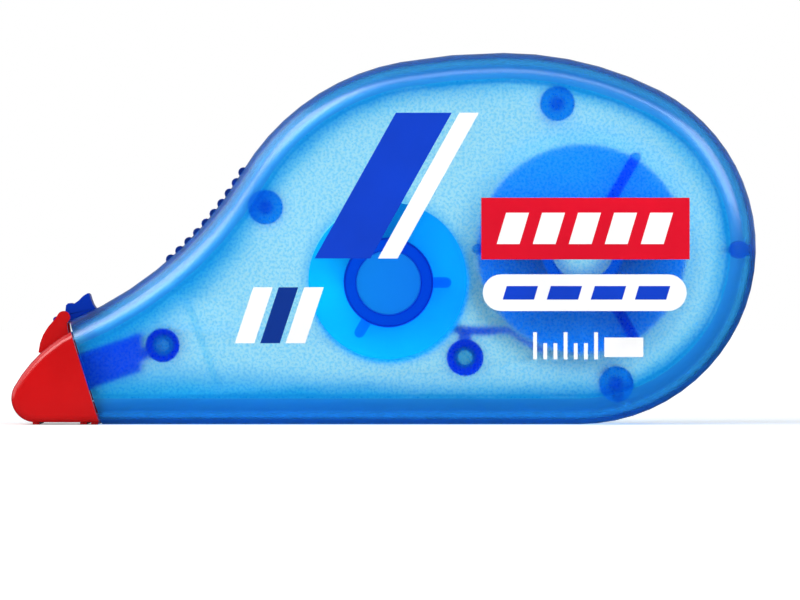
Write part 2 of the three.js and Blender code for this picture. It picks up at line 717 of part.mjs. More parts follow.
// Pawl: ring on the guide post, nose at the ratchet, spring tail along the spool's flange
function stopPawl() {
  const reach = RATCHET_RADIUS + PAWL_TIP_GAP;
  const tailInner = SUPPLY_FLANGE_RADIUS + SEAT_GAP;
  const tailOuter = tailInner + PAWL_TAIL_THICKNESS;
  const nose = [
    shifted(TAKE_UP, PAWL_NOSE_FROM, reach),
    shifted(TAKE_UP, PAWL_NOSE_TO, reach),
    shifted(TAKE_UP, PAWL_NOSE_TO - 0.9, reach + PAWL_NOSE_CHAMFER),
  ];
  const elbow = PAWL_TAIL_FROM - PAWL_ELBOW_LEAD;
  const under = [
    beside(GUIDE_POST, [GUIDE_BASE_RADIUS, PAWL_BLADE_RISE]),
    shifted(SUPPLY, elbow, tailOuter + PAWL_ELBOW_THICKNESS / 2),
  ];
  const tail = [
    ...arcPoints(SUPPLY, tailOuter, PAWL_TAIL_FROM, PAWL_TAIL_TO),
    ...arcPoints(SUPPLY, tailInner, PAWL_TAIL_TO, PAWL_TAIL_FROM),
  ];
  const over = [
    shifted(SUPPLY, elbow, tailOuter - PAWL_ELBOW_THICKNESS / 2),
    beside(GUIDE_POST, [GUIDE_BASE_RADIUS / 2, PAWL_BLADE_RISE + PAWL_BLADE_HEIGHT]),
  ];
  const blade = slab([...nose, ...under, ...tail, ...over], PAWL_FRONT, PAWL_BACK);
  const neckFoot = beside(GUIDE_POST, [0, (RING_BORE + GUIDE_BASE_RADIUS) / 2]);
  const neckTop = beside(GUIDE_POST, [0, PAWL_BLADE_RISE + PAWL_BLADE_HEIGHT / 2]);
  const neck = bar(neckFoot, neckTop, PAWL_NECK_WIDTH, PAWL_FRONT, PAWL_BACK);
  const front = PAWL_FRONT - SEAT_GAP;
  const ring = tube(GUIDE_POST, RING_BORE, GUIDE_BASE_RADIUS, front, PAWL_BACK, 24);
  return joined([ring, neck, blade]);
}

// Applicator: ring on its post, arm down to the tip, and a cheek on each side of the tape
function applicator() {
  const half = armHalf();
  const wide = half + CHEEK_THICKNESS;
  const rise = APPLICATOR_POST[1] - TIP[1];
  const run = APPLICATOR_POST[0] - TIP[0];
  const heading = 180 + (Math.atan2(rise, run) * 180) / Math.PI;
  const start = shifted(APPLICATOR_POST, heading, (RING_BORE + APPLICATOR_BASE_RADIUS) / 2);
  const shoulder = shifted(APPLICATOR_POST, heading, ARM_NECK);
  const bend = shifted(TIP, heading, -TIP_TAPER);
  const arm = [
    shifted(shoulder, heading + 90, ARM_THICKNESS / 2),
    shifted(bend, heading + 90, ARM_THICKNESS / 2),
    shifted(TIP, heading + 90, TIP_THICKNESS / 2),
    shifted(TIP, heading, TIP_THICKNESS / 2),
    shifted(TIP, heading - 90, TIP_THICKNESS / 2),
    shifted(bend, heading - 90, ARM_THICKNESS / 2),
    shifted(shoulder, heading - 90, ARM_THICKNESS / 2),
  ].reverse();
  const over = CHEEK_OVER_ARM.map(([along, across]) => {
    return shifted(shifted(APPLICATOR_POST, heading, along), heading - 90, across);
  });
  const under = CHEEK_UNDER_ARM.map(([along, across]) => {
    return shifted(shifted(APPLICATOR_POST, heading, along), heading + 90, across);
  });
  const short = shifted(TIP, heading, -CHEEK_SHORT_OF_TIP);
  const cheek = [
    ...over,
    shifted(short, heading - 90, CHEEK_NOSE_HEIGHT),
    shifted(short, heading + 90, CHEEK_NOSE_HEIGHT),
    ...under,
  ];
  return joined([
    tube(APPLICATOR_POST, RING_BORE, APPLICATOR_BASE_RADIUS, -half, half, 24),
    bar(start, shoulder, ARM_THICKNESS, -half, half),
    slab(arm, -wide, wide),
    slab(cheek, -wide, -half),
    slab(cheek, half, wide),
  ]);
}

// Where a taut strip leaves one round piece and meets the next. A negative radius is met from below.
function tangentPlaces(first, firstRadius, second, secondRadius, side) {
  const run = [second[0] - first[0], second[1] - first[1]];
  const heading = (Math.atan2(run[1], run[0]) * 180) / Math.PI;
  const ratio = (firstRadius - secondRadius) / Math.hypot(...run);
  const normal = heading + (side * Math.acos(ratio) * 180) / Math.PI;
  return {
    normal,
    from: shifted(first, normal, firstRadius),
    to: shifted(second, normal, secondRadius),
  };
}

// A thin strip along places in XZ
function strip(places) {
  const half = TAPE_THICKNESS / 2;
  const sides = places.map((place, i) => {
    const before = places[Math.max(0, i - 1)];
    const after = places[Math.min(places.length - 1, i + 1)];
    const heading = (Math.atan2(after[1] - before[1], after[0] - before[0]) * 180) / Math.PI;
    return [shifted(place, heading - 90, half), shifted(place, heading + 90, half)];
  });
  const outline = [...sides.map((pair) => pair[0]), ...sides.map((pair) => pair[1]).reverse()];
  return slab(outline, -TAPE_EDGE, TAPE_EDGE);
}

// Gap between the middle of a strip and what it runs over
function stripStand() {
  return TAPE_THICKNESS / 2 + PRESS_GAP;
}

// Tape from the roll, under the guide roller, to the underside of the tip
function tapeRun() {
  const rollRadius = TAPE_ROLL_RADIUS + stripStand();
  const rollerRadius = GUIDE_ROLLER_RADIUS + stripStand();
  const tipRadius = TIP_THICKNESS / 2 + stripStand();
  const first = tangentPlaces(SUPPLY, rollRadius, GUIDE_POST, rollerRadius, 1);
  const second = tangentPlaces(GUIDE_POST, rollerRadius, TIP, tipRadius, 1);
  return strip([
    first.from,
    ...arcPoints(GUIDE_POST, rollerRadius, first.normal, second.normal, 3),
    second.to,
  ]);
}

// Bare strip from the tip, over the applicator's ring, to the underside of the take-up roll
function linerRun() {
  const tipRadius = TIP_THICKNESS / 2 + stripStand();
  const ringRadius = APPLICATOR_BASE_RADIUS + stripStand();
  const rollRadius = LINER_ROLL_RADIUS + stripStand();
  const first = tangentPlaces(TIP, tipRadius, APPLICATOR_POST, ringRadius, 1);
  const second = tangentPlaces(APPLICATOR_POST, ringRadius, TAKE_UP, -rollRadius, 1);
  return strip([
    ...arcPoints(TIP, tipRadius, first.normal + 90, first.normal, 30),
    ...arcPoints(APPLICATOR_POST, ringRadius, first.normal, second.normal, 8),
    second.to,
  ]);
}

// Bracket with the hinge barrel, the pointed tab and the tongue that hooks under the shells
function hingeBracket() {
  const half = BARREL_WIDTH / 2;
  const tab = TAB_OUTLINE.map((offset) => beside(HINGE, offset));
  const seat = slab(housingOutline(-BRACKET_SEAT), -FACE, FACE);
  const front = HINGE[0] + TONGUE_BEHIND_HINGE;
  const rear = front + TONGUE_THICKNESS;
  const foot = HINGE[1] - TONGUE_DROP + SEAT_GAP;
  const inTongue = TONGUE_WIDTH / 2;
  const tongue = [
    [front, foot],
    [rear, foot],
    [rear, HINGE[1] + BARREL_RADIUS],
    [front, HINGE[1] + BARREL_RADIUS],
  ];
  const hook = [
    [front, foot],
    [rear + TONGUE_HOOK, foot],
    [rear + TONGUE_HOOK, foot + TONGUE_HOOK_HEIGHT],
    [front, foot + TONGUE_HOOK_HEIGHT],
  ];
  const underWall = slab(housingOutline(HOUSING_WALL + SEAT_GAP), -FACE, FACE);
  const stopPlace = shifted(HINGE, STOP_ANGLE, STOP_DISTANCE);
  const parts = [
    rod(HINGE, BARREL_RADIUS, -half, half),
    bar(HINGE, stopPlace, 2 * STOP_RADIUS, -half, half),
    rod(stopPlace, STOP_RADIUS, -half, half, 12),
    slab(tab, -half, half).subtract(seat),
    slab(tongue, -inTongue, inTongue),
    slab(hook, -inTongue, inTongue).intersect(underWall),
  ];
  const deep = EAR_STUB_LENGTH + SEAT_GAP;
  const sockets = [
    rod(HINGE, EAR_SOCKET_RADIUS, -FACE, -half + deep),
    rod(HINGE, EAR_SOCKET_RADIUS, half - deep, FACE),
  ];
  return joined(parts).subtract(joined(sockets));
}

// Side outline of the cap's body, carried past the mouth, which is cut off later
function capOutline(inset) {
  const start = [MOUTH_X - CAP_NOSE_REACH, CAP_FOOT_HEIGHT];
  const centre = [start[0], start[1] + CAP_NOSE_RADIUS];
  const top = beside(HINGE, CAP_TOP_OFFSET);
  let course = 90 - CAP_BROW_SWEEP;
  let chord = 0;
  for (let i = 0; i < 12; i += 1) {
    const from = shifted(centre, course + 90, CAP_NOSE_RADIUS);
    const run = [top[0] - from[0], top[1] - from[1]];
    course = (Math.atan2(run[1], run[0]) * 180) / Math.PI + CAP_BROW_SWEEP / 2;
    chord = Math.hypot(...run);
  }
  const radius = chord / (2 * Math.sin(radians(CAP_BROW_SWEEP / 2)));
  const arcs = [
    [CAP_NOSE_RADIUS, course - 180],
    [radius, -1.4 * CAP_BROW_SWEEP],
  ];
  const chain = tangentChain(start, 180, arcs, -inset);
  const past = chain.end[0] + CAP_NOSE_RADIUS;
  return [...chain.points, [past, chain.end[1]], [past, CAP_FOOT_HEIGHT + inset]].reverse();
}

// An ear that carries the cap on the hinge, from the barrel's side down into the body
function capEar(side) {
  const near = BARREL_WIDTH / 2 + SEAT_GAP;
  const far = near + EAR_THICKNESS;
  const outline = [
    ...EAR_REAR.map((offset) => beside(HINGE, offset)),
    ...arcPoints(HINGE, BARREL_RADIUS, -40, 139, 15),
    ...EAR_FRONT.map((offset) => beside(HINGE, offset)),
  ];
  const [front, back] = side < 0 ? [-far, -near] : [near, far];
  const stubFront = side < 0 ? -near - EAR_STUB_RADIUS : near - EAR_STUB_LENGTH;
  const stubBack = side < 0 ? -near + EAR_STUB_LENGTH : near + EAR_STUB_RADIUS;
  return slab(outline, front, back).add(rod(HINGE, EAR_STUB_RADIUS, stubFront, stubBack, 12));
}

// Flip-up cap: rounded shell, ears and feet
function cap() {
  const outer = slab(capOutline(0), -FACE, FACE, CAP_EDGE_RADIUS);
  const innerHalf = FACE - CAP_WALL;
  const inner = slab(capOutline(CAP_WALL), -innerHalf, innerHalf);
  const feet = CAP_FEET_REACH.map((reach) => {
    const x = MOUTH_X - reach;
    const points = [
      [x - CAP_FOOT_WIDTH / 2, 0],
      [x + CAP_FOOT_WIDTH / 2, 0],
      [x + CAP_FOOT_WIDTH / 2, CAP_FOOT_HEIGHT + CAP_WALL / 2],
      [x - CAP_FOOT_WIDTH / 2, CAP_FOOT_HEIGHT + CAP_WALL / 2],
    ];
    return slab(points, CAP_EDGE_RADIUS - FACE, FACE - CAP_EDGE_RADIUS);
  });
  const mouth = noseSide(CAP_GAP);
  const body = outer.subtract(inner).add(joined(feet)).intersect(mouth);
  const ears = joined([capEar(-1), capEar(1)]).subtract(inner);
  return body.add(ears.intersect(mouth.add(aboveMouth())));
}

// The space over the mouth, where the ears reach past the mouth plane
function aboveMouth() {
  const [x, z] = HINGE;
  const reach = 4 * BARREL_RADIUS;
  const points = [
    [x - reach, z - BARREL_RADIUS / 2],
    [x + reach, z - BARREL_RADIUS / 2],
    [x + reach, z + reach],
    [x - reach, z + reach],
  ];
  return slab(points, -FACE, FACE);
}

// Named meshes
const FROSTED_BLUE = { color: 0x57b7f0, roughness: 0.45, metalness: 0, transparent: true };
const materials = {
  shell: () => new THREE.MeshStandardMaterial({ ...FROSTED_BLUE, opacity: 0.6 }),
  darkBlue: () => new THREE.MeshStandardMaterial({ color: 0x0030c0, roughness: 0.35 }),
  reelBlue: () => new THREE.MeshStandardMaterial({ color: 0x0082f0, roughness: 0.4 }),
  red: () => new THREE.MeshStandardMaterial({ color: 0xcc0000, roughness: 0.25 }),
  natural: () => new THREE.MeshStandardMaterial({ color: 0xeef4fa, roughness: 0.5 }),
  tape: () => new THREE.MeshStandardMaterial({ color: 0xf6f6f2, roughness: 0.6 }),
  liner: () => new THREE.MeshStandardMaterial({ color: 0xcfe4f5, roughness: 0.5 }),
  rubber: () => new THREE.MeshStandardMaterial({ color: 0x202024, roughness: 0.9 }),
};

// A mesh from a finished solid
function piece(name, made, material) {
  const { numProp, vertProperties, triVerts } = made.getMesh();
  const positions = [];
  for (const corner of triVerts) {
    const at = corner * numProp;
    positions.push(vertProperties[at], vertProperties[at + 1], vertProperties[at + 2]);
  }
  const geometry = new THREE.BufferGeometry();
  geometry.setAttribute("position", new THREE.Float32BufferAttribute(positions, 3));
  geometry.computeVertexNormals();
  const mesh = new THREE.Mesh(geometry, material);
  mesh.name = name;
  return mesh;
}

const correctionTape = new THREE.Group();
correctionTape.add(
  piece("front_shell", frontShell(), materials.shell()),
  piece("back_shell", backShell(), materials.shell()),
  piece("hinge_bracket", hingeBracket(), materials.darkBlue()),
  piece("cap", cap(), materials.red()),
  piece("applicator", applicator(), materials.darkBlue()),
  piece("drive_gear", driveGear(), materials.natural()),
  piece("supply_spool", supplySpool(), materials.reelBlue()),
  piece("clutch_ring", clutchRing(), materials.rubber()),
  piece("tape_roll", tapeRoll(), materials.tape()),
  piece("take_up_spool", takeUpSpool(), materials.natural()),
  piece("take_up_ratchet", takeUpRatchet(), materials.reelBlue()),
  piece("liner_roll", linerRoll(), materials.liner()),
  piece("stop_pawl", stopPawl(), materials.darkBlue()),
  piece("guide_roller", guideRoller(), materials.natural()),
  piece("tape_run", tapeRun(), materials.tape()),
  piece("liner_run", linerRun(), materials.liner()),
);

export default correctionTape;
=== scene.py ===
import bpy
import bmesh
import json
import math
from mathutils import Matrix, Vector


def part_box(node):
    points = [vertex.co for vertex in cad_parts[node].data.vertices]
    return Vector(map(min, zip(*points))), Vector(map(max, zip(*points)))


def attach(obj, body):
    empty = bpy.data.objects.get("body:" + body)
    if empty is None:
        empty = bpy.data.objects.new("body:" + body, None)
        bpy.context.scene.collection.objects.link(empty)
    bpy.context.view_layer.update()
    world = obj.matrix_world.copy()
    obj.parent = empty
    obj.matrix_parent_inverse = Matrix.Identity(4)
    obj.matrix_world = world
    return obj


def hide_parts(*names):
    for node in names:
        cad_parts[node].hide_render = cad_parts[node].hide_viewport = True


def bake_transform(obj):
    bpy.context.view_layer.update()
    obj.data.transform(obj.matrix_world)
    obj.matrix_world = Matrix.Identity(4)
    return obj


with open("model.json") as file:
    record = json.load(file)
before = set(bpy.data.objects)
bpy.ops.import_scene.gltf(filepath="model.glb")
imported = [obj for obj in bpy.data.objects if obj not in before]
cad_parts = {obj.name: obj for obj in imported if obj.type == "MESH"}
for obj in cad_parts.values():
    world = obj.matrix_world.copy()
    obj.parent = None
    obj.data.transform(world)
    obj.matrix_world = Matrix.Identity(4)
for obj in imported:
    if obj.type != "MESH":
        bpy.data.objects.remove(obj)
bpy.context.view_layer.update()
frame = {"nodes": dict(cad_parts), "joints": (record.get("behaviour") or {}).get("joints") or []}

# Camera: straight at the front shell from about a metre, so that the picture's
# scale holds at the depth of the bosses, just behind the face.
mm = 0.001
picture_pixels = 800
pixel = 0.11828 * mm
picture_middle_x = 1.89 * mm
picture_middle_z = 14.7 * mm
boss_depth = -5.0 * mm
scene = bpy.context.scene
scene.view_settings.view_transform = "Standard"
camera_data = bpy.data.cameras.new("camera")
camera_data.lens = 400
camera_data.sensor_width = 36
camera_data.clip_start = 0.01
camera_data.clip_end = 20
camera = bpy.data.objects.new("camera", camera_data)
scene.collection.objects.link(camera)
camera_distance = picture_pixels * pixel * camera_data.lens / camera_data.sensor_width
camera.location = (picture_middle_x, boss_depth - camera_distance, picture_middle_z)
camera.rotation_euler = (math.radians(90), 0, 0)
scene.camera = camera


# Room: an even white room that lights matt faces weakly. What looks past or
# through the object sees it plain white, and gloss sees it dimmer on the side
# where the camera stands.
def feed(tree, value, socket):
    """Link another node's output to a socket, or give it a number, place or colour."""
    if isinstance(value, bpy.types.NodeSocket):
        tree.links.new(value, socket)
    elif socket.type == "RGBA":
        socket.default_value = (*value, 1)
    else:
        socket.default_value = value


def add_node(tree, kind, inputs):
    """A node whose inputs, by name or number, are fed; gives its outputs."""
    node = tree.nodes.new(kind)
    for label, value in inputs.items():
        feed(tree, value, node.inputs[label])
    return node.outputs


def add_math(tree, operation, *values):
    node = tree.nodes.new("ShaderNodeMath")
    node.operation = operation
    for value, socket in zip(values, node.inputs):
        feed(tree, value, socket)
    return node.outputs[0]


def add_range(tree, value, from_low, from_high, to_low, to_high, smooth=False):
    span = tree.nodes.new("ShaderNodeMapRange")
    if smooth:
        span.interpolation_type = "SMOOTHSTEP"
    span.inputs["From Min"].default_value = from_low
    span.inputs["From Max"].default_value = from_high
    span.inputs["To Min"].default_value = to_low
    span.inputs["To Max"].default_value = to_high
    tree.links.new(value, span.inputs["Value"])
    return span.outputs["Result"]


white = (1.0, 1.0, 1.0)
gloss_blue = (0.72, 0.82, 1.0)
world = bpy.data.worlds.new("room")
scene.world = world
world.use_nodes = True
room = world.node_tree
room.nodes.clear()
room_path = add_node(room, "ShaderNodeLightPath", {})
room_place = add_node(room, "ShaderNodeTexCoord", {})["Generated"]
room_axes = add_node(room, "ShaderNodeSeparateXYZ", {"Vector": room_place})
gloss_level = add_range(room, room_axes["Y"], -0.75, 0.3, 0.08, 0.3, smooth=True)
room_light = add_node(room, "ShaderNodeBackground", {"Color": white, "Strength": 0.2})
room_gloss = add_node(
    room, "ShaderNodeBackground", {"Color": gloss_blue, "Strength": gloss_level}
)
room_plain = add_node(room, "ShaderNodeBackground", {"Color": white, "Strength": 1.0})
room_seen = add_math(
    room, "MAXIMUM", room_path["Is Camera Ray"], room_path["Is Transmission Ray"]
)
room_shed = add_node(
    room,
    "ShaderNodeMixShader",
    {"Fac": room_path["Is Glossy Ray"], 1: room_light[0], 2: room_gloss[0]},
)
room_all = add_node(
    room, "ShaderNodeMixShader", {"Fac": room_seen, 1: room_shed[0], 2: room_plain[0]}
)
add_node(room, "ShaderNodeOutputWorld", {"Surface": room_all[0]})


# Lamps: a soft panel to the upper left, one to the upper right and a weak one
# overhead, all in front, which draw the pale bands along the rounded rims. A
# wide weak one beside the nose draws the pale edge of the cap.
def light_panel(name, place, width, height, power):
    data = bpy.data.lights.new(name, "AREA")
    data.shape = "RECTANGLE"
    data.size = width
    data.size_y = height
    data.energy = power
    panel = bpy.data.objects.new(name, data)
    scene.collection.objects.link(panel)
    panel.location = place
    aim = Vector((0.0, 0.0, 20 * mm))
    panel.rotation_euler = (aim - Vector(place)).to_track_quat("-Z", "Y").to_euler()


light_panel("panel_left", (-0.4, -0.46, 0.5), width=0.36, height=0.36, power=2.6)
light_panel("panel_right", (0.5, -0.48, 0.34), width=0.42, height=0.42, power=2.6)
light_panel("panel_over", (0.0, -0.6, 0.6), width=0.7, height=0.2, power=1.2)
light_panel("panel_side", (-0.45, 0.0, 0.25), width=0.5, height=0.5, power=1.1)


# Table: a pale matt sheet under the object. It brightens into the white of
# the room where it is only seen, keeps the object's faint shadow, and stays
# dim in gloss, so that it draws no veil over the low upright faces.
def add_vector_math(tree, operation, *values):
    node = tree.nodes.new("ShaderNodeVectorMath")
    node.operation = operation
    for value, socket in zip(values, node.inputs):
        feed(tree, value, socket)
    return node.outputs["Value" if operation == "LENGTH" else "Vector"]


floor_edge = 3.0
floor_height = -0.05 * mm
floor_corners = [(-1, -1), (1, -1), (1, 1), (-1, 1)]
floor_mesh = bpy.data.meshes.new("table")
floor_mesh.from_pydata(
    [(floor_edge * x, floor_edge * y, floor_height) for x, y in floor_corners],
    [],
    [(0, 1, 2, 3)],
)
floor = bpy.data.objects.new("table", floor_mesh)
scene.collection.objects.link(floor)
floor_paint = bpy.data.materials.new("pale table")
floor_paint.use_nodes = True
floor_tree = floor_paint.node_tree
floor_shader = floor_tree.nodes["Principled BSDF"]
floor_shader.inputs["Base Color"].default_value = (0.9, 0.9, 0.9, 1)
floor_shader.inputs["Roughness"].default_value = 0.7
floor_shader.inputs["Specular IOR Level"].default_value = 0.1
floor_path = add_node(floor_tree, "ShaderNodeLightPath", {})
floor_seen = add_math(
    floor_tree, "MAXIMUM", floor_path["Is Camera Ray"], floor_path["Is Transmission Ray"]
)
floor_place = add_node(floor_tree, "ShaderNodeTexCoord", {})["Object"]
floor_away = add_vector_math(floor_tree, "LENGTH", floor_place)
floor_far = add_range(floor_tree, floor_away, 0.08, 0.5, 0.35, 1.0)
floor_lift = add_math(floor_tree, "MULTIPLY", floor_seen, floor_far)
floor_glow = add_node(floor_tree, "ShaderNodeEmission", {"Strength": floor_lift})
floor_sum = add_node(
    floor_tree, "ShaderNodeAddShader", {0: floor_shader.outputs[0], 1: floor_glow[0]}
)
floor_dim = add_node(floor_tree, "ShaderNodeBsdfDiffuse", {"Color": (0.05, 0.055, 0.07)})
floor_gloss = add_math(
    floor_tree, "GREATER_THAN", floor_path["Is Glossy Ray"], floor_path["Is Transmission Ray"]
)
floor_look = add_node(
    floor_tree, "ShaderNodeMixShader", {"Fac": floor_gloss, 1: floor_sum[0], 2: floor_dim[0]}
)
feed(floor_tree, floor_look[0], floor_tree.nodes["Material Output"].inputs["Surface"])
floor_mesh.materials.append(floor_paint)


# Back shell: the half that everything is laid into. It is injection-moulded in
# clear blue plastic, frosted on its flat face and satin on its rounded rim.
# Its pins, plug, collars and lands look deep blue for their depth. Shade is
# painted into its colour at the rim, crease, polished round, gaps and tubes,
# and light into its throat ribs and the posts' bores.
shell_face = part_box("back_shell")[1].y
face_plane = shell_face - 0.03 * mm
wall_inside = shell_face - 1.3 * mm
rim_radius = 3.3
map_span = 10.0


def smoothed_copy(node, name, angle):
    """A copy of a CAD node's mesh, corners merged and soft edges shaded smooth."""
    mesh = frame["nodes"][node].data.copy()
    mesh.name = name
    mesh.materials.clear()
    work = bmesh.new()
    work.from_mesh(mesh)
    bmesh.ops.remove_doubles(work, verts=work.verts, dist=0.002 * mm)
    bmesh.ops.dissolve_degenerate(work, dist=0.001 * mm, edges=work.edges)
    limit = math.radians(angle)
    for face in work.faces:
        face.smooth = True
    for edge in work.edges:
        edge.smooth = len(edge.link_faces) == 2 and edge.calc_face_angle(0) < limit
    work.to_mesh(mesh)
    work.free()
    piece = bpy.data.objects.new(name, mesh)
    scene.collection.objects.link(piece)
    return piece


def flat_faces(work):
    """The faces of a shell's flat side, without its rounded rim."""
    return [
        face for face in work.faces
        if abs(face.normal.y) > 0.999 and abs(face.calc_center_median().y) > face_plane
    ]


def find_crease(work):
    """The edges where the flat side meets the rim: the longest loop round it."""
    flat = set(flat_faces(work))
    border = [e for e in work.edges if sum(f in flat for f in e.link_faces) == 1]
    left = set(border)
    loops = []
    for first in border:
        if first not in left:
            continue
        left.remove(first)
        loop = [first]
        for edge in loop:
            for near in [e for corner in edge.verts for e in corner.link_edges]:
                if near in left:
                    left.remove(near)
                    loop.append(near)
        loops.append(loop)
    return max(loops, key=lambda loop: sum(edge.calc_length() for edge in loop))


def add_inset_map(mesh):
    """Divide the flat side finely, and map how far in from the outline each point lies."""
    work = bmesh.new()
    work.from_mesh(mesh)
    segments = [
        [(end.co.x, end.co.z) for end in edge.verts] for edge in find_crease(work)
    ]
    step = 1.1 * mm
    cuts_along_x = (0, -40 * mm, 48 * mm)
    cuts_along_z = (2, 0.0, 45 * mm)
    for axis, first, last in (cuts_along_x, cuts_along_z):
        normal = [float(axis == i) for i in range(3)]
        place = first
        while place < last:
            faces = flat_faces(work)
            edges = list(dict.fromkeys(e for f in faces for e in f.edges))
            corners = list(dict.fromkeys(v for e in edges for v in e.verts))
            bmesh.ops.bisect_plane(
                work,
                geom=faces + edges + corners,
                dist=0.001 * mm,
                plane_co=[place * part for part in normal],
                plane_no=normal,
            )
            place += step
    insets = {}
    for vertex in work.verts:
        x, z = vertex.co.x, vertex.co.z
        nearest = math.inf
        inside = False
        for (x1, z1), (x2, z2) in segments:
            dx, dz = x2 - x1, z2 - z1
            along = ((x - x1) * dx + (z - z1) * dz) / max(dx * dx + dz * dz, 1e-18)
            along = min(1.0, max(0.0, along))
            nearest = min(nearest, math.hypot(x - x1 - along * dx, z - z1 - along * dz))
            if (z1 > z) != (z2 > z) and x < x1 + (z - z1) * dx / dz:
                inside = not inside
        insets[vertex] = rim_radius + (nearest if inside else -nearest) / mm
    layer = work.loops.layers.uv.new("inset")
    for face in work.faces:
        for corner in face.loops:
            corner[layer].uv = (insets[corner.vert] / map_span, 0.5)
    work.to_mesh(mesh)
    work.free()


def add_colour_mix(tree, factor, low, high, blend="MIX"):
    mix = tree.nodes.new("ShaderNodeMix")
    mix.data_type = "RGBA"
    mix.blend_type = blend
    for value, socket in ((factor, mix.inputs[0]), (low, mix.inputs[6]), (high, mix.inputs[7])):
        feed(tree, value, socket)
    return mix.outputs[2]


def add_sockets(group, side, sockets):
    for label, kind in sockets:
        group.interface.new_socket(label, in_out=side, socket_type="NodeSocket" + kind)


# Grain of a moulded surface: fine unevenness, broad flow clouds and a normal
grain_group = bpy.data.node_groups.new("moulded grain", "ShaderNodeTree")
add_sockets(
    grain_group, "INPUT", (("Vector", "Vector"), ("Grain Size", "Float"), ("Depth", "Float"))
)
add_sockets(
    grain_group, "OUTPUT", (("Grain", "Float"), ("Clouds", "Float"), ("Normal", "Vector"))
)
clouds_per_metre = 120.0
grain_height = 0.02 * mm
grain_in = add_node(grain_group, "NodeGroupInput", {})
grain_scale = add_math(grain_group, "DIVIDE", 1.0, grain_in["Grain Size"])
grain_fine = add_node(
    grain_group,
    "ShaderNodeTexNoise",
    {"Vector": grain_in["Vector"], "Scale": grain_scale, "Detail": 2.0},
)
grain_soft = add_node(
    grain_group,
    "ShaderNodeTexNoise",
    {"Vector": grain_in["Vector"], "Scale": clouds_per_metre, "Detail": 3.0},
)
grain_bump = add_node(
    grain_group,
    "ShaderNodeBump",
    {"Distance": grain_height, "Strength": grain_in["Depth"], "Height": grain_fine["Fac"]},
)
add_node(
    grain_group,
    "NodeGroupOutput",
    {"Grain": grain_fine["Fac"], "Clouds": grain_soft["Fac"], "Normal": grain_bump["Normal"]},
)


def add_group(tree, group, inputs):
    """A shader group placed in a material, its inputs fed; gives its outputs."""
    node = tree.nodes.new("ShaderNodeGroup")
    node.node_tree = group
    for label, value in inputs.items():
        feed(tree, value, node.inputs[label])
    return node.outputs


def add_grain(tree, size, depth):
    place = add_node(tree, "ShaderNodeTexCoord", {})["Object"]
    return add_group(tree, grain_group, {"Vector": place, "Grain Size": size, "Depth": depth})


shell_paint = bpy.data.materials.new("frosted blue plastic")
shell_paint.use_nodes = True
shell = shell_paint.node_tree
shell_glass = shell.nodes["Principled BSDF"]
shell_glass.inputs["Transmission Weight"].default_value = 1.0
shell_glass.inputs["IOR"].default_value = 1.46
shell_glass.inputs["Specular Tint"].default_value = (0.3, 0.6, 1.0, 1)

# Where a point is: on the flat face, in the polished round, or inside the walls
joint_places = {joint["name"]: Vector(joint["pos_m"]) for joint in frame["joints"]}
supply_axis = joint_places["supply_spin"]
take_up_axis = joint_places["take_up_spin"]
guide_axis = joint_places["guide_roller_spin"]
applicator_axis = joint_places["applicator_flex"]
window_axis = take_up_axis + Vector((-0.12, 0.0, 0.3)) * mm
window_radius = 9.34
shell_place = add_node(shell, "ShaderNodeTexCoord", {})["Object"]
shell_axes = add_node(shell, "ShaderNodeSeparateXYZ", {"Vector": shell_place})


def distance_from(axis):
    """How far a point of the shell is from an axis along Y, in millimetres."""
    shift = add_node(
        shell,
        "ShaderNodeMapping",
        {"Vector": shell_place, "Location": (-axis.x, 0, -axis.z), "Scale": (1, 0, 1)},
    )
    return add_math(shell, "DIVIDE", add_vector_math(shell, "LENGTH", shift["Vector"]), mm)


def within(distance, reach):
    return add_math(shell, "LESS_THAN", distance, reach)


from_window = distance_from(window_axis)
from_take_up = distance_from(take_up_axis)
from_supply = distance_from(supply_axis)
shell_away = add_math(shell, "ABSOLUTE", shell_axes["Y"])
on_face = add_math(shell, "GREATER_THAN", shell_away, face_plane)
on_back = add_math(shell, "GREATER_THAN", shell_axes["Y"], 0.0)
past_window = add_math(shell, "GREATER_THAN", from_window, window_radius)
no_window = add_math(shell, "MAXIMUM", past_window, on_back)
frost_mask = add_math(shell, "MULTIPLY", on_face, no_window)
below_skin = within(shell_away, wall_inside + 0.3 * mm)

# Gloss: grain on the frosted face, a satin rim, and duller inside the walls
frost_bump = add_math(shell, "MULTIPLY", frost_mask, 0.2)
shell_grain = add_grain(shell, 0.34 * mm, frost_bump)
frost_rough = add_range(shell, shell_grain["Grain"], 0.3, 0.7, 0.26, 0.4)
wall_rough = add_range(
    shell, shell_away, wall_inside - 0.05 * mm, wall_inside + 0.05 * mm, 0.38, 0.22
)
round_polish = add_range(shell, no_window, 0.0, 1.0, 0.3, 1.0)
plain_rough = add_math(shell, "MULTIPLY", wall_rough, round_polish)
shell_rough = shell.nodes.new("ShaderNodeMix")
shell_rough.data_type = "FLOAT"
feed(shell, frost_mask, shell_rough.inputs[0])
feed(shell, plain_rough, shell_rough.inputs[2])
feed(shell, frost_rough, shell_rough.inputs[3])
feed(shell, shell_rough.outputs[0], shell_glass.inputs["Roughness"])
feed(shell, shell_grain["Normal"], shell_glass.inputs["Normal"])
